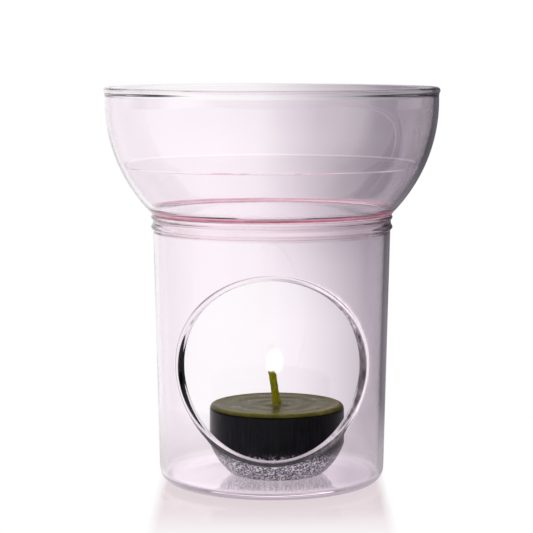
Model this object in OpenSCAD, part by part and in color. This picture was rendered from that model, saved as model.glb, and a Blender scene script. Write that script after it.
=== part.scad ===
// Glass tealight burner: an open round bowl welded on a hollow glass body. A tealight
// stands on the body's glass floor and goes in and out by the round opening.
// Millimetres, +Z up, origin on the table under the middle of the base. The opening
// faces -Y.

/* [Body] */
// Outer radius of the body under the weld
body_r = 34.1; // [32.5:0.1:36]
// How much narrower the body is at its foot, on the radius
body_taper = 1.6; // [0:0.1:2.5]
// Height of the body from the table to the weld
body_h = 73.2; // [70:0.1:84]
// Thickness of the body's wall
wall = 1.6; // [1.2:0.1:2]
// Thickness of the glass floor
floor_t = 2.5; // [2:0.1:3.5]
// Outer radius of the rounded corner round the foot
foot_r = 3; // [2.6:0.1:4]

/* [Opening] */
// Clear radius of the round opening
opening_r = 25; // [24:0.1:25.6]
// Height of the opening's centre
opening_z = 36.9; // [36.5:0.1:38]
// Width of the thickened lip round the opening
lip_w = 1.8; // [1:0.1:2]
// How far the lip stands proud outside
lip_out = 0.6; // [0.2:0.1:1]
// How far the lip stands proud inside
lip_in = 0.4; // [0.2:0.1:0.5]

/* [Bowl] */
// Outer radius of the bowl at its widest
bowl_r = 48.1; // [45:0.1:52]
// Height of the bowl, from the weld to the top of the rim
bowl_h = 36.4; // [33:0.1:42]
// Thickness of the bowl's wall
bowl_wall = 1.7; // [1.3:0.1:1.9]
// Thickness of the bowl's bottom
bowl_bottom = 1.2; // [0.9:0.1:1.8]
// How far the middle of the bottom sags under the weld's top
bowl_sag = 0.4; // [0.2:0.1:1.5]
// Radius of the rounded bead along the rim
bead_r = 1.2; // [0.9:0.1:1.3]
// How far the widest level lies under the rim's top
rim_drop = 4; // [3.5:0.1:6]

/* [Weld] */
// Height of the weld ring
weld_h = 4.4; // [3:0.1:5]
// How far the weld ring stands proud of the body
weld_proud = 0.6; // [0.2:0.1:0.8]
// Radial depth of the weld ring into the joint
weld_depth = 0.8; // [0.6:0.1:0.8]

/* [Oil] */
// Height of the oil's surface over the table
oil_level = 91.4; // [86:0.1:96]

/* [Tealight] */
// Outer radius of the aluminium cup
cup_r = 19.45; // [18.5:0.05:19.5]
// Height of the cup
cup_h = 19; // [15:0.1:19.5]
// Thickness of the cup's sheet
foil = 0.3; // [0.2:0.05:0.4]
// Radius of the cup's flat bottom
cup_foot_r = 12.8; // [12:0.1:14]
// Height of the tapered part of the cup
taper_h = 9.2; // [8:0.1:10]
// Radius of the taper's curve, seen from the side
taper_r = 18.5; // [16:0.5:24]
// How far the wax stands over the cup's rim
wax_proud = 1.3; // [0.8:0.1:2]
// How far the middle of the wax lies under its edge
wax_dish = 0.3; // [0.1:0.1:0.6]
// Radius of the wick
wick_r = 1.1; // [0.8:0.05:1.3]
// Length of the wick over the wax
wick_out = 9.5; // [5:0.1:10]
// Lean of the wick to the side, in degrees
wick_lean = 9; // [0:1:15]
// Place of the tealight across the body
tealight_x = 1.5; // [-2:0.1:2]
// Place of the tealight along the body, minus is nearer the opening
tealight_y = -2.4; // [-4:0.1:2]

/* [Hidden] */
$fn = 96;

// Gap under the tealight, so that it lies on the floor without sharing its face
rest_gap = 0.1;

// Body: the wall starts outside the flat disc of the floor
foot_out_r = body_r - body_taper;
foot_in_r = foot_r - floor_t / 2;
disc_r = foot_out_r - foot_r - 0.8;
lip_r = opening_r + lip_w;

// Bowl: an elliptic side that reaches the weld's top at the neck's radius. Its bottom closes
// the body at that height, and a collar inside the weld carries it on the body's top.
weld_top = body_h + weld_h;
rim_top = weld_top + bowl_h;
wide_z = rim_top - rim_drop;
neck_r = body_r + 0.3;
weld_in_r = body_r - weld_depth;
side_b = (wide_z - weld_top) / sqrt(1 - pow(neck_r / bowl_r, 2));
in_a = bowl_r - bowl_wall;
in_b = side_b - bowl_wall;
in_body_r = body_r - wall;
sag_z = weld_top - bowl_sag;
oil_angle = acos((wide_z - oil_level) / in_b);

// Tealight: the cup's foot stands on the floor
cup_z = floor_t + rest_gap;
taper_c = arc_centre([cup_foot_r, 0], [cup_r, taper_h], taper_r);
wax_r = cup_r - foil;
wax_top = cup_h + wax_proud;
bevel = wax_proud - 0.2;
tab_r = 6.5;
tab_t = 0.3;
collar_r = 1.8;
collar_h = 3.2;
knot_r = wick_r + 0.25;

// Points on an arc about c, from angle a0 to a1
function arc(c, r, a0, a1, n) =
    [for (i = [0:n]) let (a = a0 + (a1 - a0) * i / n) c + r * [cos(a), sin(a)]];

// Centre of the arc of radius r that bulges to the right from p to q
function arc_centre(p, q, r) =
    let (d = q - p, h = sqrt(r * r - d * d / 4), n = [-d[1], d[0]] / norm(d))
    (p + q) / 2 + h * n;

// Outer radius of the body at height z
function body_at(z) = foot_out_r + body_taper * (z - foot_r) / (body_h - foot_r);

// Height of the sagging bottom's underside at radius r
function sag_at(r) = sag_z + bowl_sag * pow(r / in_body_r, 2);

// Inner face of the bowl between two angles, from the middle (0) to the widest level (90)
function bowl_inside(a0, a1, n, first) = [
    for (i = [first:n])
    let (a = a0 + (a1 - a0) * i / n, r = in_a * sin(a))
    [r, max(sag_at(r) + bowl_bottom, wide_z - in_b * cos(a))]
];

// Outline of the inside of the cup, lowered by drop under the rim
function cup_inside(drop) =
    let (
        r = taper_r - foil,
        a0 = asin((foil - taper_c[1]) / r),
        a1 = -acos((wax_r - taper_c[0]) / r)
    )
    concat([[0, foil]], arc(taper_c, r, a0, a1, 8), [[wax_r, cup_h - drop]]);

module opening_drill(r) {
    translate([0, 0, opening_z])
        rotate([90, 0, 0])
            cylinder(r = r, h = body_r + 6);
}

module at_tealight() {
    translate([tealight_x, tealight_y, cup_z])
        children();
}

module glass_floor() {
    color([0.93, 0.82, 0.86, 0.35])
        cylinder(r = disc_r, h = floor_t);
}

module glass_body() {
    inner_c = [foot_out_r - wall - foot_in_r, floor_t + foot_in_r];
    color([0.96, 0.88, 0.92, 0.35])
        difference() {
            rotate_extrude()
                polygon(concat(
                    [[disc_r, 0]],
                    arc([foot_out_r - foot_r, foot_r], foot_r, -90, 0, 8),
                    [[body_r, body_h], [in_body_r, body_h]],
                    arc(inner_c, foot_in_r, 0, -90, 6),
                    [[disc_r, floor_t]]
                ));
            opening_drill(lip_r);
        }
}

module opening_lip() {
    low = opening_z - lip_r - 1;
    high = opening_z + lip_r + 1;
    color([0.90, 0.72, 0.80, 0.45])
        intersection() {
            rotate_extrude()
                polygon([
                    [body_at(low) - wall - lip_in, low],
                    [body_at(low) + lip_out, low],
                    [body_at(high) + lip_out, high],
                    [body_at(high) - wall - lip_in, high]
                ]);
            difference() {
                opening_drill(lip_r);
                opening_drill(opening_r);
            }
        }
}

module weld_ring() {
    out_r = body_r + weld_proud;
    round_r = min(1.2, weld_h / 2 - 0.1);
    color([0.86, 0.60, 0.72, 0.5])
        rotate_extrude()
            polygon(concat(
                [[weld_in_r, body_h], [body_r, body_h]],
                arc([out_r - round_r, body_h + round_r], round_r, -60, 0, 4),
                arc([out_r - round_r, weld_top - round_r], round_r, 0, 60, 4),
                [[body_r, weld_top], [weld_in_r, weld_top]]
            ));
}

module glass_bowl() {
    neck_angle = asin(neck_r / bowl_r);
    bead_c = [bowl_r - bead_r, rim_top - bead_r];
    inside = concat(bowl_inside(0, oil_angle, 18, 0), bowl_inside(oil_angle, 90, 6, 1));
    color([0.96, 0.88, 0.92, 0.35])
        rotate_extrude()
            polygon(concat(
                [for (i = [0:8]) let (r = in_body_r * i / 8) [r, sag_at(r)]],
                [[in_body_r, body_h], [weld_in_r, body_h], [weld_in_r, weld_top]],
                [for (i = [0:14]) let (a = neck_angle + (90 - neck_angle) * i / 14)
                    [bowl_r * sin(a), wide_z - side_b * cos(a)]],
                arc(bead_c, bead_r, 0, 215, 12),
                [for (i = [len(inside) - 1:-1:0]) inside[i]]
            ));
}

module oil_fill() {
    color([0.97, 0.93, 0.95, 0.3])
        rotate_extrude()
            polygon(concat(bowl_inside(0, oil_angle, 18, 0), [[0, oil_level]]));
}

module tealight_cup() {
    a0 = asin(-taper_c[1] / taper_r);
    a1 = -acos((cup_r - taper_c[0]) / taper_r);
    inside = cup_inside(0);
    color([0.62, 0.63, 0.66])
        at_tealight()
            rotate_extrude()
                polygon(concat(
                    [[0, 0]],
                    arc(taper_c, taper_r, a0, a1, 8),
                    [[cup_r, cup_h]],
                    [for (i = [len(inside) - 1:-1:0]) inside[i]]
                ));
}

module wick_shape() {
    translate([0, 0, foil + tab_t])
        cylinder(r = wick_r, h = wax_top - foil - tab_t);
    translate([0, 0, wax_top - wax_dish])
        sphere(r = knot_r);
    translate([0, 0, wax_top - wax_dish])
        rotate([0, -wick_lean, 0])
            cylinder(r = wick_r, h = wick_out);
}

module sustainer_shape() {
    translate([0, 0, foil])
        cylinder(r = tab_r, h = tab_t);
    difference() {
        translate([0, 0, foil + tab_t / 2])
            cylinder(r = collar_r, h = collar_h);
        translate([0, 0, foil + tab_t])
            cylinder(r = wick_r, h = collar_h + 1);
    }
}

module wax() {
    color([0.50, 0.50, 0.27])
        at_tealight()
            difference() {
                rotate_extrude()
                    polygon(concat(
                        cup_inside(0),
                        [[wax_r - 0.1, wax_top - bevel]],
                        arc([wax_r - 0.1 - bevel, wax_top - bevel], bevel, 15, 75, 4),
                        [[0, wax_top - wax_dish]]
                    ));
                wick_shape();
                sustainer_shape();
            }
}

module wick_sustainer() {
    color([0.75, 0.75, 0.77])
        at_tealight()
            sustainer_shape();
}

module wick() {
    color([0.55, 0.53, 0.10])
        at_tealight()
            wick_shape();
}

glass_floor();
glass_body();
opening_lip();
weld_ring();
glass_bowl();
oil_fill();
tealight_cup();
wax();
wick_sustainer();
wick();
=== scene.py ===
"""Looks of the glass tealight burner: one fused glass body with a round opening, the oil in
its bowl, and a lit tealight. Metres, in the row's frame: +Z up, the opening faces -Y."""
import math

import bmesh
import bpy
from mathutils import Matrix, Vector


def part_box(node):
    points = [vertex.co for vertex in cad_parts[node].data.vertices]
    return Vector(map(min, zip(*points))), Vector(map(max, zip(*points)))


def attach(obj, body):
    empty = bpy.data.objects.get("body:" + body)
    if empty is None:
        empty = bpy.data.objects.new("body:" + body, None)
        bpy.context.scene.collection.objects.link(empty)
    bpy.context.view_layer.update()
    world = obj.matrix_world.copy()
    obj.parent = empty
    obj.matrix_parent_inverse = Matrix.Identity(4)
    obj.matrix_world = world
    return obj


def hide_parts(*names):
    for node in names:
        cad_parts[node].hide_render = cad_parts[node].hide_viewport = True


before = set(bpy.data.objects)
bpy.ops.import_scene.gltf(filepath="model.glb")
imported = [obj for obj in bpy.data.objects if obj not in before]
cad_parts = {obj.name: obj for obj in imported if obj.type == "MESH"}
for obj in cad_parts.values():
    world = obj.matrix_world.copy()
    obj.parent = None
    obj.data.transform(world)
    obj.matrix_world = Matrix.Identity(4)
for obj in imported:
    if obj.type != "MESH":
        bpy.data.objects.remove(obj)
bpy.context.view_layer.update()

MM = 0.001
TAU = 2 * math.pi

# ---------------------------------------------------------------- sizes, from the frame
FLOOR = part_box("glass_floor")
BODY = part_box("glass_body")
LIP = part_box("opening_lip")
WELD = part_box("weld_ring")
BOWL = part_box("glass_bowl")
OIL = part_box("oil_fill")
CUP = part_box("tealight_cup")
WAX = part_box("wax")
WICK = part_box("wick")

FLOOR_TOP = FLOOR[1][2]
BODY_TOP = BODY[1][2]
BODY_R = BODY[1][0]
WALL = 1.6 * MM
BODY_IN_R = BODY_R - WALL
BODY_TAPER = 1.6 * MM
FOOT_OUT_R = BODY_R - BODY_TAPER
FOOT_R = 4.4 * MM              # rounding round the foot, rounder than the CAD's corner
INNER_FOOT_R = 1.2 * MM
BASE_HOLLOW = 0.25 * MM

LIP_R = (LIP[1][0] - LIP[0][0]) / 2
OPENING_Z = (LIP[0][2] + LIP[1][2]) / 2
OPENING_R = LIP_R - 1.8 * MM
LIP_OUT = 0.55 * MM            # how far the lip stands proud outside, and inside
LIP_IN = 0.35 * MM
LIP_BEAD = 0.62 * MM
SWELL_R = LIP_R - 0.1 * MM     # where the wall starts to swell into the lip

WELD_TOP = WELD[1][2]
WELD_R = WELD[1][0]
BOWL_R = BOWL[1][0]
RIM_TOP = BOWL[1][2]
WIDE_Z = RIM_TOP - 4.0 * MM    # level at which the bowl is widest
NECK_R = BODY_R + 0.3 * MM     # where the bowl's side leaves the weld
SIDE_B = (WIDE_Z - WELD_TOP) / math.sqrt(1 - (NECK_R / BOWL_R) ** 2)
BOWL_WALL = 1.7 * MM
IN_A = BOWL_R - BOWL_WALL
IN_B = SIDE_B - BOWL_WALL
BEAD_R = 0.95 * MM             # bead along the rim, slimmer than the CAD's
BEAD_PROUD = 0.35 * MM
BEAD_TURN = (-38, 212)         # the bead's section, in degrees from outside over the top
SIDE_R = BOWL_R - BEAD_PROUD
SAG = 0.4 * MM
BOTTOM_T = 1.2 * MM
BOTTOM_FILLET = 1.6 * MM

OIL_LEVEL = OIL[1][2]
OIL_GAP = 0.03 * MM
MENISCUS = 0.75 * MM
MENISCUS_REACH = 0.75 * MM

CUP_X = (CUP[0][0] + CUP[1][0]) / 2
CUP_Y = (CUP[0][1] + CUP[1][1]) / 2
CUP_Z = CUP[0][2]
CUP_R = (CUP[1][0] - CUP[0][0]) / 2
CUP_H = CUP[1][2] - CUP_Z
CUP_FOOT_R = 12.8 * MM
TAPER_H = 9.2 * MM
TAPER_R = 18.5 * MM
FOIL = 0.3 * MM
WAX_TOP = WAX[1][2] - CUP_Z    # this and WICK_TOP are over the cup's foot
WICK_R = 1.1 * MM
WICK_TOP = WICK[1][2] - CUP_Z
WICK_LEAN = math.radians(9)
STRANDS = 9

FLAME_SHELLS = 4
FLAME_R = 2.9 * MM
FLAME_H = 7.4 * MM
SHELL_INSET = 0.62 * MM        # each shell of the flame is this much smaller in radius


# ---------------------------------------------------------------- mesh helpers
def arc(cx, cz, r, a0, a1, n):
    """n + 1 points (r, z) on a circle, from angle a0 to a1 in degrees."""
    angles = [math.radians(a0 + (a1 - a0) * i / n) for i in range(n + 1)]
    return [(cx + r * math.cos(a), cz + r * math.sin(a)) for a in angles]


def smooth(t):
    """0 to 1 with flat ends."""
    t = min(max(t, 0.0), 1.0)
    return t * t * (3 - 2 * t)


def spread(a, b, n):
    """n + 1 evenly spaced values from a to b."""
    return [a + (b - a) * i / n for i in range(n + 1)]


def place(bm, name):
    """A smooth-shaded object from a bmesh, with its faces turned outwards."""
    bmesh.ops.recalc_face_normals(bm, faces=bm.faces)
    mesh = bpy.data.meshes.new(name)
    bm.to_mesh(mesh)
    bm.free()
    mesh.shade_smooth()
    obj = bpy.data.objects.new(name, mesh)
    bpy.context.scene.collection.objects.link(obj)
    return obj


def lathe(bm, profile, columns, centre=(0.0, 0.0), skip=None, wobble=None):
    """Turns (r, z) points about a vertical axis. Column 0 faces +Y and the middle one -Y.
    A point on the axis becomes one vertex. skip(row, column) leaves a cell open.
    Returns the rows of vertices."""
    cx, cy = centre
    rows = []
    for r, z in profile:
        if r < 1e-9:
            rows.append([bm.verts.new((cx, cy, z))])
            continue
        row = []
        for c in range(columns):
            a = TAU * (c / columns - 0.5)
            rr, zz = wobble(a, r, z) if wobble else (r, z)
            row.append(bm.verts.new((cx + rr * math.sin(a), cy - rr * math.cos(a), zz)))
        rows.append(row)
    for i in range(len(rows) - 1):
        low, high = rows[i], rows[i + 1]
        for c in range(columns):
            d = (c + 1) % columns
            if skip and skip(i, c):
                continue
            if len(low) == 1:
                bm.faces.new((low[0], high[d], high[c]))
            elif len(high) == 1:
                bm.faces.new((low[c], low[d], high[0]))
            else:
                bm.faces.new((low[c], low[d], high[d], high[c]))
    return rows


# ---------------------------------------------------------------- glass
# The wall has a square window round the opening, and rings lead from it to the round lip
COLUMNS = 256
WINDOW = 44                    # columns of the window on each side of -Y
WINDOW_LOW = 6.8 * MM
WINDOW_HIGH = 67.5 * MM
WINDOW_ROWS = 48
RING_STEPS = 12
BEAD_STEPS = 16


def body_radius(z):
    """Outer radius of the body's wall at height z."""
    return FOOT_OUT_R + (BODY_R - FOOT_OUT_R) * (z - FOOT_R) / (BODY_TOP - FOOT_R)


def underside(r):
    """Height of the underside of the bowl's bottom, which sags a little in its middle."""
    return WELD_TOP - SAG * (1 - (r / BODY_IN_R) ** 2)


def soft_max(a, b, k):
    """The larger of two heights, with the corner between them rounded."""
    h = max(k - abs(a - b), 0.0) / k
    return max(a, b) + h * h * k / 4


def bowl_inside(degrees):
    """A point (r, z) of the bowl's inner face, from the middle (0) to its widest level (90)."""
    a = math.radians(degrees)
    r = IN_A * math.sin(a)
    return r, soft_max(underside(r) + BOTTOM_T, WIDE_Z - IN_B * math.cos(a), BOTTOM_FILLET)


def weld_bulge(t):
    """How far the weld stands proud at t, from its foot (0) to its top (1): two soft beads."""
    bead = math.exp(-((t - 0.2) / 0.14) ** 2) + math.exp(-((t - 0.84) / 0.12) ** 2)
    return (WELD_R - BODY_R) * min(bead + 0.25 * math.sin(math.pi * t), 1.0)


def outer_profile():
    """From the middle of the base, up the outside, over the rim and down into the bowl."""
    flat_r = FOOT_OUT_R - FOOT_R
    base = [(r, BASE_HOLLOW * (1 - (r / flat_r) ** 2)) for r in spread(0, flat_r, 12)]
    foot = arc(flat_r, FOOT_R, FOOT_R, -90, 0, 12)[1:]
    low = [(body_radius(z), z) for z in spread(FOOT_R, WINDOW_LOW, 4)[1:]]
    window = [(body_radius(z), z) for z in spread(WINDOW_LOW, WINDOW_HIGH, WINDOW_ROWS)[1:]]
    high = [(body_radius(z), z) for z in spread(WINDOW_HIGH, BODY_TOP, 6)[1:]]
    weld = [
        (BODY_R + (NECK_R - BODY_R) * smooth((t - 0.85) / 0.15) * 0.6 + weld_bulge(t),
         BODY_TOP + (WELD_TOP - BODY_TOP) * t)
        for t in spread(0, 1, 20)[1:]
    ]
    neck = math.degrees(math.asin(NECK_R / SIDE_R)) + 1.2
    side = [
        (SIDE_R * math.sin(math.radians(a)), WIDE_Z - SIDE_B * math.cos(math.radians(a)))
        for a in spread(neck, 90, 40)
    ]
    rim_z = RIM_TOP - BEAD_R
    rise = [(SIDE_R, z) for z in spread(WIDE_Z, rim_z - 1.1 * MM, 3)[1:]]
    rim = arc(BOWL_R - BEAD_R, rim_z, BEAD_R, *BEAD_TURN, 24)
    inside = [bowl_inside(a) for a in spread(90, 0, 64)]
    lead = [(inside[0][0], z) for z in (WIDE_Z + 1.4 * MM, WIDE_Z + 0.7 * MM)]
    wall_rows = (len(base) + len(foot) + len(low) - 1, WINDOW_ROWS)
    return base + foot + low + window + high + weld + side + rise + rim + lead + inside, wall_rows


def chamber_profile():
    """The hollow of the body: from the middle of its floor, up the wall, to the bowl's bottom."""
    inner_r = FOOT_OUT_R - WALL
    floor = [(r, FLOOR_TOP) for r in spread(0, inner_r - INNER_FOOT_R, 10)]
    foot = arc(inner_r - INNER_FOOT_R, FLOOR_TOP + INNER_FOOT_R, INNER_FOOT_R, -90, 0, 10)[1:]
    start = foot[-1][1]
    low = [(body_radius(z) - WALL, z) for z in spread(start, WINDOW_LOW, 4)[1:]]
    window = [
        (body_radius(z) - WALL, z) for z in spread(WINDOW_LOW, WINDOW_HIGH, WINDOW_ROWS)[1:]
    ]
    fillet = 1.0 * MM
    top = WELD_TOP - fillet
    high = [(body_radius(z) - WALL, z) for z in spread(WINDOW_HIGH, BODY_TOP, 5)[1:]]
    high += [(BODY_IN_R, z) for z in spread(BODY_TOP, top, 4)[1:]]
    turn_z = underside(BODY_IN_R - fillet)
    corner = [
        (BODY_IN_R - fillet * (1 - math.cos(a)), top + (turn_z - top) * math.sin(a))
        for a in [math.radians(v) for v in spread(0, 90, 8)[1:]]
    ]
    under = [(r, underside(r)) for r in spread(BODY_IN_R - fillet, 0, 16)[1:]]
    wall_rows = (len(floor) + len(foot) + len(low) - 1, WINDOW_ROWS)
    return floor + foot + low + window + high + corner + under, wall_rows


def window_loop(rows, first, count):
    """The vertices round the opening's window, counter-clockwise as seen from outside."""
    mid = COLUMNS // 2
    left, right = mid - WINDOW, mid + WINDOW
    loop = [rows[first][c] for c in range(left, right)]
    loop += [rows[i][right] for i in range(first, first + count)]
    loop += [rows[first + count][c] for c in range(right, left, -1)]
    loop += [rows[i][left] for i in range(first + count, first, -1)]
    return loop


def on_wall(x, z, n):
    """The point at offset n from the middle of the wall, where its middle is at x and z."""
    r = body_radius(z) - WALL / 2
    a = math.asin(x / r)
    return (r + n) * math.sin(a), -(r + n) * math.cos(a), z


def lip_section():
    """The lip's section as (distance from the opening's axis, offset from the wall's middle)."""
    mid_r = OPENING_R + LIP_BEAD
    out_n, in_n = WALL / 2 + LIP_OUT, -WALL / 2 - LIP_IN
    centre_n, half = (out_n + in_n) / 2, (out_n - in_n) / 2
    swell = [
        (SWELL_R + (mid_r - SWELL_R) * t, WALL / 2 + (out_n - WALL / 2) * smooth(t))
        for t in spread(0, 1, 8)[:-1]
    ]
    nose = [
        (mid_r - LIP_BEAD * math.sin(a), centre_n + half * math.cos(a))
        for a in [math.radians(v) for v in spread(0, 180, BEAD_STEPS)]
    ]
    fall = [
        (mid_r + (SWELL_R - mid_r) * t, in_n + (-WALL / 2 - in_n) * smooth(t))
        for t in spread(0, 1, 8)[1:]
    ]
    return swell + nose + fall


def join(bm, loop_a, loop_b):
    """Quads between two closed loops of the same length."""
    n = len(loop_a)
    for i in range(n):
        j = (i + 1) % n
        bm.faces.new((loop_a[i], loop_a[j], loop_b[j], loop_b[i]))


def window_rings(bm, loop, offset):
    """Rings that lead from the window's square edge to the opening's round one, on the face
    of the wall at that offset. Returns the last ring and each of its angles."""
    start = []
    for v in loop:
        a = math.atan2(v.co.x, -v.co.y)
        start.append((a, v.co.z))
    mid_r = body_radius(OPENING_Z)
    angles = [math.atan2(z - OPENING_Z, a * mid_r) for a, z in start]
    previous = loop
    for step in range(1, RING_STEPS + 1):
        t = 1 - (1 - step / RING_STEPS) ** 1.35
        ring = []
        for (a, z), turn in zip(start, angles):
            x_end, z_end = SWELL_R * math.cos(turn), OPENING_Z + SWELL_R * math.sin(turn)
            a_end = math.asin(x_end / (body_radius(z_end) - WALL / 2))
            aa, zz = a + (a_end - a) * t, z + (z_end - z) * t
            r = body_radius(zz) - WALL / 2 + offset
            ring.append(bm.verts.new((r * math.sin(aa), -r * math.cos(aa), zz)))
        join(bm, previous, ring)
        previous = ring
    return previous, angles


def build_glass():
    """The whole glass as one closed surface, because the bowl is fused on the body."""
    bm = bmesh.new()
    mid = COLUMNS // 2
    loops = []
    for profile, (first, count) in (outer_profile(), chamber_profile()):
        def in_window(i, c, first=first, count=count):
            return first <= i < first + count and mid - WINDOW <= c < mid + WINDOW

        rows = lathe(bm, profile, COLUMNS, skip=in_window)
        loops.append(window_loop(rows, first, count))
    outer, angles = window_rings(bm, loops[0], WALL / 2)
    inner, _ = window_rings(bm, loops[1], -WALL / 2)
    previous = outer
    for rho, n in lip_section()[1:-1]:
        ring = []
        for turn in angles:
            x, z = rho * math.cos(turn), OPENING_Z + rho * math.sin(turn)
            ring.append(bm.verts.new(on_wall(x, z, n)))
        join(bm, previous, ring)
        previous = ring
    join(bm, previous, inner)
    return place(bm, "glass")


def build_oil():
    """The liquid in the bowl, with a meniscus. A hair of air parts it from the glass."""
    rim_z = OIL_LEVEL + MENISCUS
    bottom = []
    for degrees in spread(0, 90, 120):
        r, z = bowl_inside(degrees)
        if z > rim_z:
            break
        bottom.append((max(r - OIL_GAP * 1.2, 0.0), z + OIL_GAP))
    contact_r = bottom[-1][0]
    top = []
    for i in range(40, -1, -1):
        t = i / 40
        r = contact_r * (1 - (1 - t) ** 2) if t > 0 else 0.0
        top.append((r, OIL_LEVEL + MENISCUS * math.exp(-(contact_r - r) / MENISCUS_REACH)))
    bm = bmesh.new()
    lathe(bm, bottom + top[1:], 192)
    return place(bm, "oil")


# ---------------------------------------------------------------- tealight
def taper_centre():
    """Centre (r, z) of the arc that the cup's lower part follows."""
    dx, dz = CUP_R - CUP_FOOT_R, TAPER_H
    d = math.hypot(dx, dz)
    h = math.sqrt(TAPER_R ** 2 - d * d / 4)
    return (CUP_R + CUP_FOOT_R) / 2 - h * dz / d, TAPER_H / 2 + h * dx / d


def build_cup():
    """The aluminium cup: drawn wall with a rolled edge, a taper with fine crimps, flat foot."""
    cx, cz = taper_centre()
    a0 = math.degrees(math.asin(-cz / TAPER_R))
    a1 = -math.degrees(math.acos((CUP_R - cx) / TAPER_R))
    foot_turn = 0.8 * MM
    foot = [(r, 0.25 * MM) for r in spread(0, CUP_FOOT_R - 2.2 * MM, 6)]
    foot += [(CUP_FOOT_R - 1.6 * MM, 0.05 * MM), (CUP_FOOT_R - foot_turn, 0.0)]
    taper = arc(cx, cz, TAPER_R, a0 + 2.2, a1 - 0.4, 30)
    waist = [(CUP_R - 0.02 * MM, TAPER_H + 0.15 * MM), (CUP_R, TAPER_H + 0.5 * MM)]
    wall = [(CUP_R, z) for z in spread(TAPER_H + 1.2 * MM, CUP_H - 0.9 * MM, 8)]
    edge = 0.28 * MM
    roll = arc(CUP_R - edge, CUP_H - edge, edge, -20, 200, 10)
    inner_r = CUP_R - FOIL
    inside = [(inner_r, CUP_H - 1.0 * MM), (inner_r, TAPER_H)]
    inside += [(max(r - FOIL, 0.0), max(z + FOIL * 0.4, FOIL)) for r, z in taper[::-3]]
    inside += [(r, FOIL + 0.25 * MM) for r in spread(CUP_FOOT_R - 2.4 * MM, 0, 5)]
    columns = 360

    def crimp(a, r, z):
        """Fine upright crimps on the taper, and a slight waver in the wall."""
        on_taper = smooth((TAPER_H - z) / (1.5 * MM)) * smooth(z / (1.0 * MM))
        outside = 1.0 if z > 0.3 * MM else 0.0
        ripple = 0.035 * MM * math.sin(a * 90) * on_taper * outside
        waver = 0.03 * MM * math.sin(a * 3 + 0.7) * smooth(z / CUP_H)
        return r - 0.04 * MM * on_taper + ripple - abs(waver), z

    bm = bmesh.new()
    rows = foot + taper + waist + wall + roll + inside
    lathe(bm, rows, columns, wobble=crimp)
    bmesh.ops.translate(bm, verts=bm.verts, vec=(CUP_X, CUP_Y, CUP_Z))
    return place(bm, "cup")


def build_wax():
    """The wax: a bevelled puck proud of the cup, dished, with a small pool at the wick."""
    cx, cz = taper_centre()
    inner = TAPER_R - FOIL - 0.05 * MM
    a0 = math.degrees(math.asin((FOIL + 0.3 * MM - cz) / inner))
    side_r = CUP_R - FOIL - 0.05 * MM
    a1 = -math.degrees(math.acos((side_r - cx) / inner))
    bore = WICK_R - 0.1 * MM
    base_z = FOIL + 0.3 * MM
    tab_r, tab_top = 6.55 * MM, FOIL + 0.35 * MM
    collar_r, collar_top = 1.85 * MM, FOIL + 0.15 * MM + 3.25 * MM
    under = [
        (bore, collar_top), (collar_r, collar_top), (collar_r, tab_top), (tab_r, tab_top),
        (tab_r, base_z)
    ]
    side = arc(cx, cz, inner, a0, a1, 14)
    wall = [(side_r, z) for z in spread(TAPER_H + 1 * MM, CUP_H - 0.3 * MM, 5)]
    lip_r = CUP_R - 0.12 * MM
    rise = WAX_TOP - CUP_H
    crown = [(lip_r - 0.12 * MM, CUP_H + 0.06 * MM), (lip_r, CUP_H + 0.28 * MM)]
    crown += [(lip_r - 0.05 * MM, CUP_H + 0.45 * MM), (lip_r - 0.45 * MM, CUP_H + rise * 0.78)]
    crown += [(lip_r - 0.95 * MM, WAX_TOP - 0.06 * MM), (lip_r - 1.5 * MM, WAX_TOP)]
    crown += [(lip_r - 2.1 * MM, WAX_TOP - 0.07 * MM)]
    dish = []
    for r in spread(lip_r - 2.8 * MM, bore, 40):
        low = 0.12 * MM + 0.2 * MM * smooth((lip_r - r) / (9 * MM))
        ring = 0.05 * MM * math.sin((lip_r - r) / (2.1 * MM))
        swell = 0.55 * MM * math.exp(-((r - WICK_R) / (0.75 * MM)))
        pool = -0.16 * MM * math.exp(-((r - 4.2 * MM) / (1.6 * MM)) ** 2)
        dish.append((r, WAX_TOP - low + ring + swell + pool))

    def uneven(a, r, z):
        """The poured surface isn't quite level or quite round."""
        lift = smooth((z - CUP_H) / (0.6 * MM)) * smooth(r / (6 * MM))
        wave = math.sin(a * 2 + 0.6) * 0.05 + math.sin(a * 5 + r * 900) * 0.03
        return r + 0.04 * MM * wave * lift, z + MM * 0.6 * wave * lift * (r / CUP_R)

    bm = bmesh.new()
    rows = under + side + wall + crown + dish
    lathe(bm, rows + [rows[0]], 192, wobble=uneven)
    bmesh.ops.remove_doubles(bm, verts=bm.verts, dist=1e-7)
    bmesh.ops.translate(bm, verts=bm.verts, vec=(CUP_X, CUP_Y, CUP_Z))
    return place(bm, "candle_wax")


def wick_spine(z):
    """The wick's middle line at height z over the cup's foot: upright in the wax, then leaning."""
    over = max(z - WAX_TOP + 0.4 * MM, 0.0)
    bend = over * over / (over + 0.5 * MM)
    return Vector((-math.tan(WICK_LEAN) * bend, 0.10 * bend, z))


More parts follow.
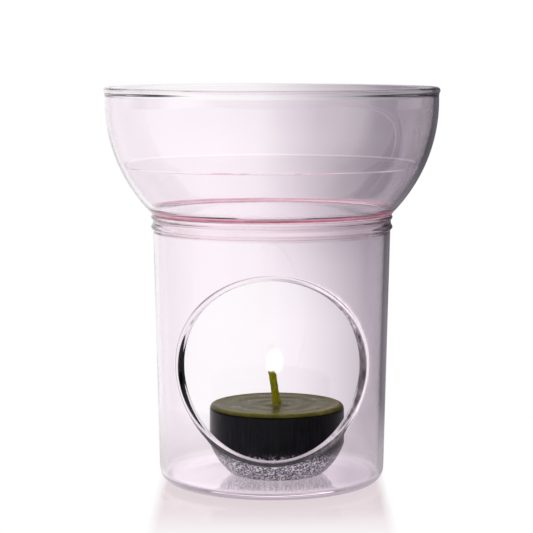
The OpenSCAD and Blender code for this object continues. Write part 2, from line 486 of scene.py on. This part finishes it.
def strand(bm, number, turn, reach, girth):
    """One waxed strand of the wick, which runs up it with a slow twist."""
    steps, sides = 70, 12
    low, high = FOIL + 0.32 * MM, WICK_TOP - 0.1 * MM - 0.35 * MM * (number % 3)
    rings = []
    for z in spread(low, high, steps):
        t = (z - low) / (high - low)
        foot = 0.16 * MM * math.exp(-((z - WAX_TOP) / (1.6 * MM)) ** 2)
        knot = 0.07 * MM * math.sin(z * 2400 + number * 1.9)
        a = turn + 0.9 * t + 0.10 * math.sin(t * 9 + number)
        splay = 1 + 0.10 * smooth((t - 0.94) / 0.06)
        r = (reach + foot + knot * 0.6) * splay if reach else 0.0
        centre = wick_spine(z) + Vector((r * math.cos(a), r * math.sin(a), 0))
        half = girth * (1 + 0.10 * math.sin(z * 3100 + number * 2.3)) + foot * 0.4
        half *= 1 - 0.35 * smooth((t - 0.985) / 0.015)
        rings.append([
            bm.verts.new(centre + Vector((half * math.cos(b), half * math.sin(b), 0)))
            for b in [TAU * k / sides for k in range(sides)]
        ])
    for lower, upper in zip(rings, rings[1:]):
        join(bm, lower, upper)
    bm.faces.new(rings[0][::-1])
    bm.faces.new(rings[-1])


def build_wick():
    """Waxed strands round a core, cut off at the top at slightly different heights."""
    bm = bmesh.new()
    girth = 0.36 * MM
    for number in range(STRANDS):
        strand(bm, number, TAU * number / STRANDS, WICK_R - girth, girth)
    strand(bm, STRANDS, 0.0, 0.0, WICK_R - 1.3 * girth)
    bmesh.ops.translate(bm, verts=bm.verts, vec=(CUP_X, CUP_Y, CUP_Z))
    return place(bm, "braided_wick")


def build_flame():
    """A glow of nested shells on the wick's tip, so that it fades outwards."""
    tip = wick_spine(WICK_TOP)
    centre = (CUP_X + tip.x + 0.8 * MM, CUP_Y + tip.y + 1.0 * MM)
    bm = bmesh.new()
    for shell in range(FLAME_SHELLS):
        inset = SHELL_INSET * shell
        width, height = FLAME_R - inset, FLAME_H - 2 * inset
        foot = WICK_TOP - 1.0 * MM + inset
        profile = []
        for t in spread(0, 1, 24):
            r = width * (4 * t * (1 - t)) ** 0.38 * (1 - 0.12 * t) if 0 < t < 1 else 0.0
            profile.append((r, foot + height * t))
        lathe(bm, profile, 40, centre=centre)
    bmesh.ops.translate(bm, verts=bm.verts, vec=(0, 0, CUP_Z))
    return place(bm, "flame")


# ---------------------------------------------------------------- material helpers
def material(name):
    """A new node material with its node tree, its Principled shader and its output."""
    mat = bpy.data.materials.new(name)
    mat.use_nodes = True
    nodes = mat.node_tree.nodes
    return mat, mat.node_tree, nodes["Principled BSDF"], nodes["Material Output"]


def add(tree, kind, **values):
    """A node of that kind. Values whose names match an input set it, others set properties."""
    node = tree.nodes.new(kind)
    for key, value in values.items():
        socket = node.inputs.get(key.replace("_", " "))
        if socket is not None:
            socket.default_value = value
        else:
            setattr(node, key, value)
    return node


def feed(tree, value, socket):
    """Gives a socket another socket's value, or a number, a vector or a colour."""
    if isinstance(value, bpy.types.NodeSocket):
        tree.links.new(value, socket)
    elif isinstance(value, tuple) and len(value) < len(socket.default_value):
        socket.default_value = (*value, 1)
    else:
        socket.default_value = value


def position(tree, space="Object"):
    """The shaded point, and its x, y and z. In Object space these are the row's metres."""
    point = add(tree, "ShaderNodeTexCoord").outputs[space]
    split = add(tree, "ShaderNodeSeparateXYZ")
    tree.links.new(point, split.inputs["Vector"])
    return point, split.outputs["X"], split.outputs["Y"], split.outputs["Z"]


def noise(tree, scale, detail=4.0, roughness=0.5, stretch=(1, 1, 1)):
    """A noise value, stretched along an axis whose factor is under 1."""
    coords = add(tree, "ShaderNodeTexCoord")
    mapping = add(tree, "ShaderNodeMapping")
    mapping.inputs["Scale"].default_value = stretch
    tree.links.new(coords.outputs["Object"], mapping.inputs["Vector"])
    tex = add(tree, "ShaderNodeTexNoise", Scale=scale, Detail=detail, Roughness=roughness)
    tree.links.new(mapping.outputs["Vector"], tex.inputs["Vector"])
    return tex.outputs["Fac"]


def ramp(tree, source, *stops):
    """A colour from a value, by (position, colour) stops."""
    node = add(tree, "ShaderNodeValToRGB")
    elements = node.color_ramp.elements
    while len(elements) < len(stops):
        elements.new(0.5)
    for element, (at, colour) in zip(elements, stops):
        element.position = at
        element.color = (*colour, 1)
    tree.links.new(source, node.inputs["Fac"])
    return node.outputs["Color"]


def spread_range(tree, source, low, high, out_low, out_high):
    """A value mapped from one range to another, and kept in it."""
    node = add(tree, "ShaderNodeMapRange")
    node.inputs["From Min"].default_value = low
    node.inputs["From Max"].default_value = high
    node.inputs["To Min"].default_value = out_low
    node.inputs["To Max"].default_value = out_high
    tree.links.new(source, node.inputs["Value"])
    return node.outputs["Result"]


def maths(tree, operation, *values):
    """A maths node over sockets or numbers."""
    node = add(tree, "ShaderNodeMath", operation=operation)
    for value, socket in zip(values, node.inputs):
        feed(tree, value, socket)
    return node.outputs[0]


def product(tree, first, *others):
    """The product of values."""
    for other in others:
        first = maths(tree, "MULTIPLY", first, other)
    return first


def length(tree, a, b):
    """The length of the flat vector (a, b)."""
    return maths(tree, "SQRT", maths(tree, "ADD", product(tree, a, a), product(tree, b, b)))


def vectors(tree, operation, *values):
    """A vector maths node over sockets, vectors or colours. The last value may be a scale."""
    node = add(tree, "ShaderNodeVectorMath", operation=operation)
    sockets = (node.inputs[0], node.inputs["Scale"] if operation == "SCALE" else node.inputs[1])
    for value, socket in zip(values, sockets):
        feed(tree, value, socket)
    return node.outputs["Value" if operation == "DISTANCE" else "Vector"]


def blend(tree, factor, a, b):
    """a where factor is 0, b where it is 1. Each is a socket or a number."""
    node = add(tree, "ShaderNodeMix", data_type="FLOAT")
    for value, socket in zip((factor, a, b), (node.inputs[0], node.inputs[2], node.inputs[3])):
        feed(tree, value, socket)
    return node.outputs[0]


def blend_colours(tree, factor, a, b):
    """a where factor is 0, b where it is 1. Each is a socket or a colour."""
    node = add(tree, "ShaderNodeMix", data_type="RGBA")
    for value, socket in zip((factor, a, b), (node.inputs[0], node.inputs[6], node.inputs[7])):
        feed(tree, value, socket)
    return node.outputs[2]


def bump(tree, shader, height, strength, distance):
    """Bump from a height value, on that shader's normal."""
    node = add(tree, "ShaderNodeBump", Strength=strength, Distance=distance)
    tree.links.new(height, node.inputs["Height"])
    tree.links.new(node.outputs["Normal"], shader.inputs["Normal"])


# ---------------------------------------------------------------- materials of the object
GLASS_IOR = 1.47
PINK_KEPT = (0.93, 0.10, 0.55)
PINK_DENSITY = 3.0
WALL_TINT = (1.0, 0.962, 0.990)
WELD_TINT = (0.955, 0.86, 0.90)
WELD_BLEND = 1.5 * MM          # how far the weld's tint reaches past its edges
BEAD_TINT = (0.96, 0.935, 0.95)
BEAD_EDGE = (RIM_TOP - 2.6 * MM, RIM_TOP - 2.2 * MM)

# The seam of the bowl's bottom and side, a milky pink line on the outside of the neck
SEAM_TINT = (1.0, 0.34, 0.46)
SEAM_OPAQUE = 0.75
SEAM_Z = WELD_TOP + 0.8 * MM
SEAM_EDGE = (0.2 * MM, 0.65 * MM)
SEAM_SKIN = (NECK_R - 0.9 * MM, NECK_R - 0.5 * MM)

# Painted glow: emission that stands for light that thick glass gathers and that runs round
# inside it: in the seam, on the right side of the opening's lip, and in the foot
SEAM_GLOW = (0.26, 0.09, 0.135)
LIP_GLOW = (0.120, 0.100, 0.115)
LIP_GLOW_EDGE = (LIP_R, LIP_R + 0.8 * MM)
LIP_GLOW_X = (8 * MM, 18 * MM)
LIP_GLOW_Y = (-12 * MM, -8 * MM)
FOOT_GLOW = (0.066, 0.058, 0.066)
FOOT_GLOW_TOP = FLOOR_TOP + 2 * MM

# Lower than a real oil's, so that the bowl doesn't turn into a strong lens
OIL_IOR = 1.012
OIL_TINTS = ((0.94, 0.915, 0.93), (0.965, 0.94, 0.955))
# The meniscus's painted glow: a faint line of emission, its colour and its strength
MENISCUS_GLOW_TINT = (1.0, 0.97, 0.99)
MENISCUS_GLOW = 0.08


def seam_mask(tree, x, y, z):
    """1 along the seam, and 0 elsewhere."""
    from_seam = maths(tree, "ABSOLUTE", maths(tree, "SUBTRACT", z, SEAM_Z))
    return product(
        tree, spread_range(tree, length(tree, x, y), *SEAM_SKIN, 0, 1),
        spread_range(tree, from_seam, *SEAM_EDGE, 1, 0)
    )


def lip_glow_mask(tree, x, y, z):
    """Painted highlight streaks on the right side of the opening's lip, and 0 elsewhere."""
    from_axis = length(tree, x, maths(tree, "SUBTRACT", z, OPENING_Z))
    return product(
        tree, spread_range(tree, from_axis, *LIP_GLOW_EDGE, 1, 0),
        spread_range(tree, y, *LIP_GLOW_Y, 1, 0),
        spread_range(tree, x, *LIP_GLOW_X, 0, 1),
        spread_range(tree, noise(tree, 900.0, 2.0, 0.5, (1, 1, 0.2)), 0.42, 0.6, 0.2, 1.0)
    )


def glass_tint(tree, z, on_seam):
    """Nearly clear in the walls and the rim, pinker over the weld, pinkest along the seam."""
    along = spread_range(tree, z, BODY_TOP - WELD_BLEND, WELD_TOP + WELD_BLEND, 0, 1)
    walls = ramp(
        tree, along, (0.0, WALL_TINT), (0.3, WELD_TINT), (0.7, WELD_TINT), (1.0, WALL_TINT)
    )
    in_bead = spread_range(tree, z, *BEAD_EDGE, 0, 1)
    return blend_colours(
        tree, on_seam, blend_colours(tree, in_bead, walls, BEAD_TINT), SEAM_TINT
    )


def glass_material():
    """Clear borosilicate with a faint pink tint and slight waves in its surface. Painted glow
    lights its seam, its lip's right side and its foot.
    """
    mat, tree, shader, out = material("pink_glass")
    _, x, y, z = position(tree)
    on_seam = seam_mask(tree, x, y, z)
    milk = noise(tree, 120.0, 2.0)
    milky = product(
        tree, on_seam, spread_range(tree, milk, 0.35, 0.65, SEAM_OPAQUE / 2, SEAM_OPAQUE)
    )
    # Painted glow: emission in the seam and on the lip's right side, and in the foot
    lit = vectors(
        tree, "ADD", vectors(tree, "SCALE", SEAM_GLOW, milky),
        vectors(tree, "SCALE", LIP_GLOW, lip_glow_mask(tree, x, y, z))
    )
    over_foot = spread_range(tree, z, FLOOR_TOP, FOOT_GLOW_TOP, 0, 1)
    feed(tree, glass_tint(tree, z, on_seam), shader.inputs["Base Color"])
    feed(tree, 0.0, shader.inputs["Roughness"])
    feed(tree, GLASS_IOR, shader.inputs["IOR"])
    feed(tree, maths(tree, "SUBTRACT", 1.0, milky), shader.inputs["Transmission Weight"])
    feed(tree, blend_colours(tree, over_foot, FOOT_GLOW, lit), shader.inputs["Emission Color"])
    feed(tree, 1.0, shader.inputs["Emission Strength"])
    bump(tree, shader, noise(tree, 55.0, 1.0, 0.4, (1, 1, 0.6)), 0.12, 0.0004)
    volume = add(tree, "ShaderNodeVolumeAbsorption", Density=PINK_DENSITY)
    feed(tree, PINK_KEPT, volume.inputs["Color"])
    tree.links.new(volume.outputs["Volume"], out.inputs["Volume"])
    return mat


def oil_material():
    """Clear thin oil. A faint line of painted glow on its meniscus stands for the light it gathers.
    """
    mat, tree, shader, _ = material("clear_oil")
    tint = ramp(tree, noise(tree, 90.0, 2.0), (0.3, OIL_TINTS[0]), (0.7, OIL_TINTS[1]))
    *_, z = position(tree)
    edge = (OIL_LEVEL + 0.15 * MM, OIL_LEVEL + 0.5 * MM)
    feed(tree, tint, shader.inputs["Base Color"])
    feed(tree, 0.0, shader.inputs["Roughness"])
    feed(tree, OIL_IOR, shader.inputs["IOR"])
    feed(tree, 1.0, shader.inputs["Transmission Weight"])
    feed(tree, MENISCUS_GLOW_TINT, shader.inputs["Emission Color"])
    feed(tree, spread_range(tree, z, *edge, 0, MENISCUS_GLOW), shader.inputs["Emission Strength"])
    return mat


def cup_material():
    """Drawn aluminium: a dark satin wall with fine upright streaks that breaks up downwards
    into a bright grained taper."""
    mat, tree, shader, _ = material("drawn_aluminium")
    point, _, _, z = position(tree)
    streaks = noise(tree, 3400.0, 3.0, 0.6, (1, 1, 0.03))
    grain = add(tree, "ShaderNodeTexVoronoi", Scale=2700.0)
    tree.links.new(point, grain.inputs["Vector"])
    specks = add(tree, "ShaderNodeSeparateColor")
    tree.links.new(grain.outputs["Color"], specks.inputs["Color"])
    low, high = CUP_Z + TAPER_H - 4.5 * MM, CUP_Z + TAPER_H + 0.8 * MM
    patchy = maths(
        tree, "ADD", spread_range(tree, z, low, high, 0, 1.3),
        spread_range(tree, specks.outputs["Green"], 0, 1, -0.25, 0.25)
    )
    on_wall_part = spread_range(tree, patchy, 0.2, 0.8, 0, 1)
    streak_colour = ramp(
        tree, streaks, (0.30, (0.012, 0.012, 0.014)), (0.55, (0.018, 0.018, 0.021)),
        (0.75, (0.030, 0.030, 0.034))
    )
    grain_colour = ramp(
        tree, specks.outputs["Red"], (0.10, (0.03, 0.03, 0.04)), (0.5, (0.26, 0.26, 0.30)),
        (0.85, (0.95, 0.95, 1.0))
    )
    colour = blend_colours(tree, on_wall_part, grain_colour, streak_colour)
    feed(tree, colour, shader.inputs["Base Color"])
    feed(tree, 1.0, shader.inputs["Metallic"])
    feed(tree, spread_range(tree, streaks, 0.3, 0.7, 0.26, 0.38), shader.inputs["Roughness"])
    height = blend(tree, on_wall_part, grain.outputs["Distance"], streaks)
    bump(tree, shader, height, 0.5, 0.0001)
    return mat


def wax_material():
    """Olive wax: satin, in paler and browner patches, with faint rings where it has set, and
    painted shade: a dark line where it meets the cup's rim, and darker just above it."""
    mat, tree, shader, _ = material("olive_wax")
    clouds = noise(tree, 210.0, 5.0, 0.62)
    olive = ramp(
        tree, clouds, (0.30, (0.110, 0.098, 0.009)), (0.50, (0.180, 0.162, 0.024)),
        (0.70, (0.285, 0.240, 0.080))
    )
    point, _, _, z = position(tree)
    rim_z = CUP_Z + CUP_H
    # Painted shade: black in the crevice where the wax meets the cup's rim, and darker just above
    # it
    crevice_shade = spread_range(tree, z, rim_z + 0.30 * MM, rim_z + 0.55 * MM, 1, 0)
    darker = spread_range(tree, z, rim_z + 0.5 * MM, rim_z + 1.2 * MM, 0.5, 0)
    painted_shade = maths(tree, "MAXIMUM", crevice_shade, darker)
    colour = blend_colours(tree, painted_shade, olive, (0.006, 0.005, 0.002))
    feed(tree, colour, shader.inputs["Base Color"])
    feed(tree, spread_range(tree, clouds, 0.3, 0.7, 0.24, 0.44), shader.inputs["Roughness"])
    feed(tree, 0.06, shader.inputs["Specular IOR Level"])
    feed(tree, 0.12, shader.inputs["Subsurface Weight"])
    feed(tree, (0.004, 0.003, 0.001), shader.inputs["Subsurface Radius"])
    feed(tree, 0.4, shader.inputs["Subsurface Scale"])
    mapping = add(tree, "ShaderNodeMapping", Location=(-CUP_X, -CUP_Y, 0))
    tree.links.new(point, mapping.inputs["Vector"])
    rings = add(
        tree, "ShaderNodeTexWave", Scale=60.0, Distortion=3.0, Detail=1.0, Detail_Scale=0.6,
        wave_type="RINGS", rings_direction="Z"
    )
    tree.links.new(mapping.outputs["Vector"], rings.inputs["Vector"])
    height = blend(tree, 0.5, rings.outputs["Fac"], noise(tree, 260.0, 2.0, 0.4))
    bump(tree, shader, height, 0.55, 0.0005)
    return mat


def wick_material():
    """Cotton soaked in wax: yellow-green, with fibres along its length."""
    mat, tree, shader, _ = material("waxed_cotton")
    fibre = noise(tree, 5200.0, 4.0, 0.6, (1, 1, 0.18))
    colour = ramp(tree, fibre, (0.3, (0.27, 0.25, 0.002)), (0.7, (0.52, 0.50, 0.010)))
    feed(tree, colour, shader.inputs["Base Color"])
    feed(tree, 0.45, shader.inputs["Roughness"])
    feed(tree, 0.15, shader.inputs["Specular IOR Level"])
    bump(tree, shader, fibre, 0.5, 0.0001)
    return mat


def tab_material():
    """Tin-plated steel of the sustainer."""
    mat, tree, shader, _ = material("tin_plate")
    spots = noise(tree, 1500.0, 4.0)
    colour = ramp(tree, spots, (0.3, (0.55, 0.55, 0.56)), (0.7, (0.72, 0.72, 0.73)))
    feed(tree, colour, shader.inputs["Base Color"])
    feed(tree, 1.0, shader.inputs["Metallic"])
    feed(tree, spread_range(tree, spots, 0.3, 0.7, 0.25, 0.4), shader.inputs["Roughness"])
    return mat


def flame_material():
    """Glowing gas. Each shell of the flame hides a little of what is behind it."""
    mat, tree, shader, out = material("flame")
    tree.nodes.remove(shader)
    glow = add(tree, "ShaderNodeEmission", Color=(1.0, 0.985, 0.94, 1), Strength=1.1)
    clear = add(tree, "ShaderNodeBsdfTransparent")
    mix = add(tree, "ShaderNodeMixShader", Fac=0.25)
    tree.links.new(clear.outputs[0], mix.inputs[1])
    tree.links.new(glow.outputs[0], mix.inputs[2])
    tree.links.new(mix.outputs[0], out.inputs["Surface"])
    return mat


def dress(obj, mat, body, slot, *nodes):
    """Gives a piece its material and the body it rides on, and hides the nodes it stands for.
    Its slot is not used.
    """
    obj.data.materials.clear()
    obj.data.materials.append(mat)
    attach(obj, body)
    if nodes:
        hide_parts(*nodes)


# ---------------------------------------------------------------- stage
# Brightness of the studio round the burner, by bearing: 0 in front, 0.25 left, 0.5 behind
STUDIO = (
    (0.00, 0.05), (0.10, 0.08), (0.15, 1.20), (0.20, 1.20), (0.235, 0.10), (0.285, 0.10),
    (0.32, 0.95), (0.46, 1.05), (0.52, 0.80), (0.58, 0.52), (0.72, 0.40), (0.78, 0.34),
    (0.86, 0.08), (1.00, 0.05)
)
OVERHEAD = 1.15

# The card behind the burner
CARD_Y = 110 * MM
CARD_REACH = 120 * MM          # the card's shades run from -CARD_REACH to CARD_REACH
CARD_FOOT = -0.2 * MM
CARD_TOP = 300 * MM
# Its brightness from its left (0) to its right (1): CARD_HIGH higher up, and CARD_LOW along its
# foot, where its right is lighter
CARD_HIGH = (
    (0.00, (0.84, 0.81, 0.83)), (0.12, (0.97, 0.95, 0.97)), (0.22, (1.0, 1.0, 1.0)),
    (0.42, (1.0, 1.0, 1.0)), (0.48, (0.93, 0.92, 0.93)), (0.54, (0.68, 0.66, 0.69)),
    (0.60, (0.41, 0.39, 0.42)), (0.66, (0.27, 0.25, 0.285)), (0.71, (0.23, 0.205, 0.245)),
    (0.78, (0.14, 0.127, 0.15)), (1.0, (0.075, 0.07, 0.08))
)
CARD_LOW = (
    (0.00, (0.84, 0.81, 0.83)), (0.12, (0.97, 0.95, 0.97)), (0.22, (1.0, 1.0, 1.0)),
    (0.42, (1.0, 1.0, 1.0)), (0.48, (0.99, 0.98, 0.99)), (0.54, (0.92, 0.88, 0.92)),
    (0.60, (0.72, 0.68, 0.73)), (0.66, (0.46, 0.43, 0.47)), (0.71, (0.37, 0.34, 0.385)),
    (0.78, (0.24, 0.22, 0.25)), (1.0, (0.14, 0.13, 0.15))
)
# Share of the high card in the mix, from the table (0) up to CARD_RISE_TOP (1)
CARD_RISE_TOP = 120 * MM
CARD_RISE = (
    (0.0, 0.0), (0.25, 0.0), (0.42, 0.35), (0.52, 0.80), (0.58, 1.0), (0.68, 0.95),
    (0.77, 0.65), (1.0, 0.60)
)
# The card's upper corners are dark, which draws dark strokes in the ends of the rim
CARD_CORNER_Z = (135 * MM, 150 * MM)
CARD_CORNER_X = (35 * MM, 47 * MM)
CARD_GLOW, CORNER_GLOW = 1.04, 0.02

# Brightness of the table round the burner, from its left (0) to its right (1), as the glass
# shows it. Behind the burner it turns into that of the card's foot
TABLE_SHADES = (
    (0.0, (0.80, 0.78, 0.80)), (0.36, (0.76, 0.73, 0.75)), (0.50, (0.70, 0.67, 0.69)),
    (0.61, (0.55, 0.52, 0.55)), (0.66, (0.45, 0.42, 0.45)), (1.0, (0.38, 0.36, 0.38))
)
TABLE_TURN = (25 * MM, CARD_Y)
# A painted shadow of the tealight, as the glass shows the table
CUP_SHADOW = 0.62
CUP_SHADOW_EDGE = (16 * MM, 34 * MM)
# What the camera sees of the table: white, with a soft pink patch of painted light in front
# and behind
PAINTED_LIGHT_TINT = (0.83, 0.735, 0.76)
PATCH_SIDE = (FOOT_OUT_R - 2.5 * MM, FOOT_OUT_R + 0.5 * MM)
PATCH_END = (40 * MM, 84 * MM)
TABLE_HALF = 1.5
TABLE_Z = -0.05 * MM
TABLE_GLOSS = 0.22
TABLE_GLOSS_EDGE = (30 * MM, 60 * MM)

# The camera stands square on to the opening and looks down by 6.2 degrees
LENS = 141.3
SENSOR = 36.0
CAMERA_X, CAMERA_Y, CAMERA_Z = -0.0015, -0.600, 0.128
AIM_Z = 0.06234


def is_camera_ray(tree):
    """1 for what the camera sees straight on, and 0 for what glass and metal show."""
    return add(tree, "ShaderNodeLightPath").outputs["Is Camera Ray"]


def build_world():
    """A white studio. What the glass and the metal show of it changes with the bearing: bright
    panels at the front left and behind, dim at the right, so that the glass has dark edges."""
    world = bpy.data.worlds.new("studio")
    bpy.context.scene.world = world
    world.use_nodes = True
    tree = world.node_tree
    tree.nodes.clear()
    _, x, y, z = position(tree, "Generated")
    bearing = maths(tree, "ARCTAN2", product(tree, x, -1.0), product(tree, y, -1.0))
    turn = maths(tree, "FRACT", maths(tree, "ADD", maths(tree, "DIVIDE", bearing, TAU), 1.0))
    # The ramp holds half of each level, because its colours stop at 1
    around = product(tree, ramp(tree, turn, *[(at, (v / 2,) * 3) for at, v in STUDIO]), 2.0)
    total = blend(tree, spread_range(tree, z, 0.25, 0.95, 0.0, 1.0), around, OVERHEAD)
    shade = add(tree, "ShaderNodeBackground", Color=(1, 1, 1, 1))
    feed(tree, blend(tree, is_camera_ray(tree), total, 1.0), shade.inputs["Strength"])
    out = add(tree, "ShaderNodeOutputWorld")
    tree.links.new(shade.outputs[0], out.inputs["Surface"])


def build_backdrop():
    """A card close behind the burner, lit from the left. Only the glass and the metal show it."""
    bm = bmesh.new()
    edge = 2 * CARD_REACH
    corners = [(-edge, CARD_FOOT), (edge, CARD_FOOT), (edge, CARD_TOP), (-edge, CARD_TOP)]
    bm.faces.new([bm.verts.new((x, CARD_Y, z)) for x, z in corners])
    card = place(bm, "backdrop")
    mat, tree, shader, out = material("backdrop_card")
    tree.nodes.remove(shader)
    _, x, _, z = position(tree)
    across = spread_range(tree, x, -CARD_REACH, CARD_REACH, 0, 1)
    height = spread_range(tree, z, 0, CARD_RISE_TOP, 0, 1)
    rise = ramp(tree, height, *[(at, (v,) * 3) for at, v in CARD_RISE])
    shade = blend_colours(tree, rise, ramp(tree, across, *CARD_LOW), ramp(tree, across, *CARD_HIGH))
    corner = product(
        tree, spread_range(tree, z, *CARD_CORNER_Z, 0, 1),
        spread_range(tree, maths(tree, "ABSOLUTE", x), *CARD_CORNER_X, 0, 1)
    )
    glow = add(tree, "ShaderNodeEmission")
    feed(tree, shade, glow.inputs["Color"])
    feed(tree, blend(tree, corner, CARD_GLOW, CORNER_GLOW), glow.inputs["Strength"])
    tree.links.new(glow.outputs[0], out.inputs["Surface"])
    card.data.materials.append(mat)
    card.visible_camera = False
    card.visible_shadow = False


def table_in_glass(tree, point, x, y):
    """What the glass and the metal show of the table: graded, and darker round the tealight,
    where its shadow is painted.
    """
    side = spread_range(tree, x, -CARD_REACH, CARD_REACH, 0, 1)
    behind = spread_range(tree, y, *TABLE_TURN, 0, 1)
    graded = blend_colours(
        tree, behind, ramp(tree, side, *TABLE_SHADES), ramp(tree, side, *CARD_LOW)
    )
    from_cup = vectors(tree, "DISTANCE", point, (CUP_X, CUP_Y, 0))
    shadow = spread_range(tree, from_cup, *CUP_SHADOW_EDGE, CUP_SHADOW, 1)
    return vectors(tree, "SCALE", graded, shadow)


def build_floor():
    """A white table. A soft pink patch of painted light stands for light that comes through the
    burner and tints it, and it is glossy there and mirrors the foot."""
    bm = bmesh.new()
    bmesh.ops.create_grid(bm, x_segments=1, y_segments=1, size=TABLE_HALF)
    bmesh.ops.translate(bm, verts=bm.verts, vec=(0, 0, TABLE_Z))
    floor = place(bm, "table")
    mat, tree, shader, out = material("white_table")
    tree.nodes.remove(shader)
    point, x, y, _ = position(tree)
    across = spread_range(tree, maths(tree, "ABSOLUTE", x), *PATCH_SIDE, 1, 0)
    fade = spread_range(tree, maths(tree, "ABSOLUTE", y), *PATCH_END, 1, 0)
    # Painted light: the pink patch that the burner's glass would throw on the table
    patch = blend_colours(tree, product(tree, across, fade), (1.0, 1.0, 1.0), PAINTED_LIGHT_TINT)
    seen = blend_colours(tree, is_camera_ray(tree), table_in_glass(tree, point, x, y), patch)
    glow = add(tree, "ShaderNodeEmission", Strength=1.0)
    feed(tree, seen, glow.inputs["Color"])
    gloss = add(tree, "ShaderNodeBsdfGlossy", Color=(1, 1, 1, 1), Roughness=0.12)
    from_foot = vectors(tree, "DISTANCE", point, (0.0, 0.0, 0.0))
    near = spread_range(tree, from_foot, *TABLE_GLOSS_EDGE, TABLE_GLOSS, 0)
    mix = add(tree, "ShaderNodeMixShader")
    feed(tree, product(tree, near, across), mix.inputs[0])
    tree.links.new(glow.outputs[0], mix.inputs[1])
    tree.links.new(gloss.outputs[0], mix.inputs[2])
    tree.links.new(mix.outputs[0], out.inputs["Surface"])
    floor.data.materials.append(mat)


def build_camera():
    """Long lens, a little over the rim's height, square on to the opening."""
    data = bpy.data.cameras.new("camera")
    data.sensor_width = SENSOR
    data.lens = LENS
    camera = bpy.data.objects.new("camera", data)
    bpy.context.scene.collection.objects.link(camera)
    camera.location = (CAMERA_X, CAMERA_Y, CAMERA_Z)
    aim = Vector((CAMERA_X, 0.0, AIM_Z)) - camera.location
    camera.rotation_euler = aim.to_track_quat("-Z", "Y").to_euler()
    bpy.context.scene.camera = camera


# ---------------------------------------------------------------- the object
bpy.context.scene.view_settings.view_transform = "Standard"
build_camera()
build_world()
build_backdrop()
build_floor()

dress(
    build_glass(), glass_material(), "glass", "bowl_glass",
    "glass_floor", "glass_body", "opening_lip", "weld_ring", "glass_bowl"
)
dress(build_oil(), oil_material(), "glass", "oil", "oil_fill")
dress(build_cup(), cup_material(), "tealight", "cup_aluminium", "tealight_cup")
dress(build_wax(), wax_material(), "tealight", "candle_wax", "wax")
dress(build_wick(), wick_material(), "tealight", "waxed_cotton", "wick")
flame = build_flame()
dress(flame, flame_material(), "tealight", None)
flame.visible_glossy = False

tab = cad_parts["wick_sustainer"]
tab.data.materials.clear()
tab.data.materials.append(tab_material())
